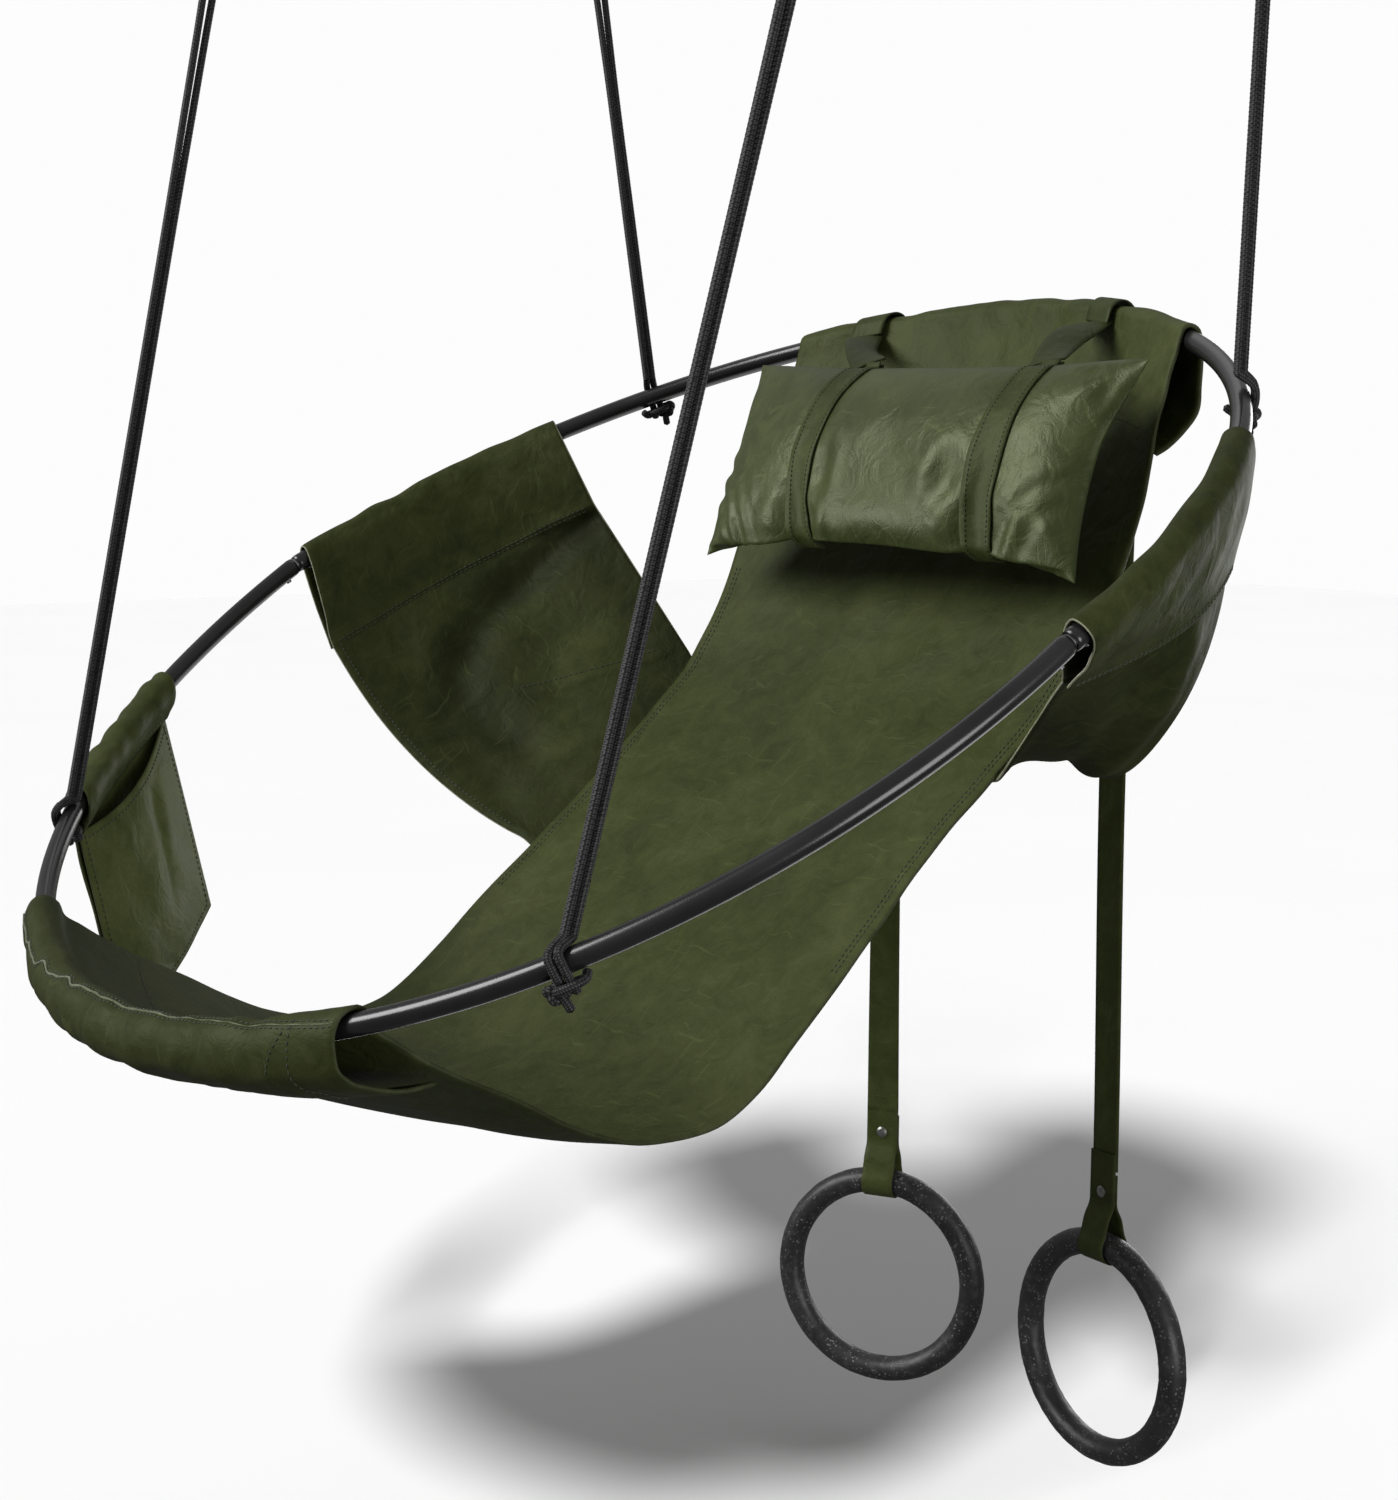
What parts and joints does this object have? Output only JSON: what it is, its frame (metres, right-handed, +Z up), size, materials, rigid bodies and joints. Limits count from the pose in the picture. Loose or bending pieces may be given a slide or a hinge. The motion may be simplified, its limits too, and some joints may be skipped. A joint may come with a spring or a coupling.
{
  "type": "hanging sling chair",
  "caption": "Leather sling lounge chair in a round steel hoop hung on doubled cords, with a sliding counterweighted head pillow, hand rings and a side pocket.",
  "frame": {"origin": "middle of the four ceiling studs, in the ceiling plane", "axes": "+Z up along the studs, the sitter faces -Y, +X is the sitter's left"},
  "size_m": [1.2903, 1.1647, 1.836],
  "materials": {
    "sling_leather": "olive, semi-gloss, lightly creased",
    "strap_leather": "olive, semi-gloss",
    "hoop_steel": "gloss black",
    "eye_steel": "satin black",
    "bare_steel": "bare, slightly darkened",
    "rope": "black braid with grey fleck",
    "ring_black": "black, coarse and worn",
    "filling": "soft fibre"
  },
  "bodies": {
    "hangers": {"eye_front_right": "eye_steel", "eye_front_left": "eye_steel", "eye_rear_right": "eye_steel", "eye_rear_left": "eye_steel"},
    "front_ropes": {"rope_front_right": "rope", "rope_front_left": "rope", "knot_front_right": "rope", "knot_front_left": "rope"},
    "rear_ropes": {"rope_rear_right": "rope", "rope_rear_left": "rope", "knot_rear_right": "rope", "knot_rear_left": "rope"},
    "chair": {"hoop_front": "hoop_steel", "hoop_rear": "hoop_steel", "spigot_right": "bare_steel", "spigot_left": "bare_steel", "spigot_screws": "bare_steel", "seat_panel": "sling_leather", "head_hem": "sling_leather", "foot_hem_top": "sling_leather", "foot_hem_under": "sling_leather", "wing_right": "sling_leather", "wing_left": "sling_leather", "wing_hem_right": "sling_leather", "wing_hem_left": "sling_leather", "strap_bend_right": "strap_leather", "strap_bend_left": "strap_leather"},
    "pillow": {"pillow_cover": "sling_leather", "pillow_filling": "filling", "pillow_band_right": "strap_leather", "pillow_band_left": "strap_leather", "strap_front_right": "strap_leather", "strap_front_left": "strap_leather"},
    "right_strap": {"strap_rear_right": "strap_leather"},
    "left_strap": {"strap_rear_left": "strap_leather"},
    "right_strap_end": {"strap_end_right": "strap_leather", "rivet_right": "bare_steel"},
    "left_strap_end": {"strap_end_left": "strap_leather", "rivet_left": "bare_steel"},
    "right_ring": {"ring_right": "ring_black"},
    "left_ring": {"ring_left": "ring_black"},
    "pocket": {"pocket_sleeve": "sling_leather", "pocket_back": "sling_leather", "pocket_front": "sling_leather"}
  },
  "joints": [
    {"name": "swing", "type": "hinge", "parent": "hangers", "child": "front_ropes", "pos_m": [0, -0.233, -0.055], "axis": [1, 0, 0], "range_deg": [-8, 8]},
    {"name": "chair_tilt", "type": "hinge", "parent": "front_ropes", "child": "chair", "pos_m": [0, -0.46682, -1.05972], "axis": [1, 0, 0], "range_deg": [-8, 8]},
    {"name": "rear_swing", "type": "hinge", "parent": "chair", "child": "rear_ropes", "pos_m": [0, 0.28171, -0.61677], "axis": [1, 0, 0], "range_deg": [-12, 12]},
    {"name": "pillow_slide", "type": "slide", "parent": "chair", "child": "pillow", "axis": [0, -0.3417, -0.9398], "range_m": [-0.03, 0.06], "deforming": ["strap_front_right", "strap_front_left"]},
    {"name": "right_strap_swing", "type": "hinge", "parent": "chair", "child": "right_strap", "pos_m": [-0.208, 0.44851, -0.54318], "axis": [1, 0, 0], "range_deg": [-8, 25]},
    {"name": "right_ring_lift", "type": "slide", "parent": "right_strap", "child": "right_strap_end", "axis": [0, 0, 1], "range_m": [-0.03, 0.06], "deforming": ["strap_rear_right"]},
    {"name": "right_ring_swing", "type": "hinge", "parent": "right_strap_end", "child": "right_ring", "pos_m": [-0.208, 0.44851, -1.544], "axis": [0.891, 0.454, 0], "range_deg": [-40, 40]},
    {"name": "left_strap_swing", "type": "hinge", "parent": "chair", "child": "left_strap", "pos_m": [0.138, 0.46632, -0.53402], "axis": [1, 0, 0], "range_deg": [-8, 25]},
    {"name": "left_ring_lift", "type": "slide", "parent": "left_strap", "child": "left_strap_end", "axis": [0, 0, 1], "range_m": [-0.03, 0.06], "deforming": ["strap_rear_left"]},
    {"name": "left_ring_swing", "type": "hinge", "parent": "left_strap_end", "child": "left_ring", "pos_m": [0.138, 0.46632, -1.537], "axis": [0.9976, -0.0698, 0], "range_deg": [-40, 40]},
    {"name": "pocket_swing", "type": "hinge", "parent": "chair", "child": "pocket", "pos_m": [-0.53716, -0.3769, -0.99907], "axis": [0.5225, -0.7069, -0.4768], "range_deg": [-12, 12]}
  ],
  "couplings": [
    {"joint": "chair_tilt", "follows": "swing", "ratio": -0.5922},
    {"joint": "rear_swing", "follows": "swing", "ratio": 1.0591},
    {"joint": "right_ring_lift", "follows": "pillow_slide", "ratio": 1},
    {"joint": "left_ring_lift", "follows": "pillow_slide", "ratio": 1}
  ]
}
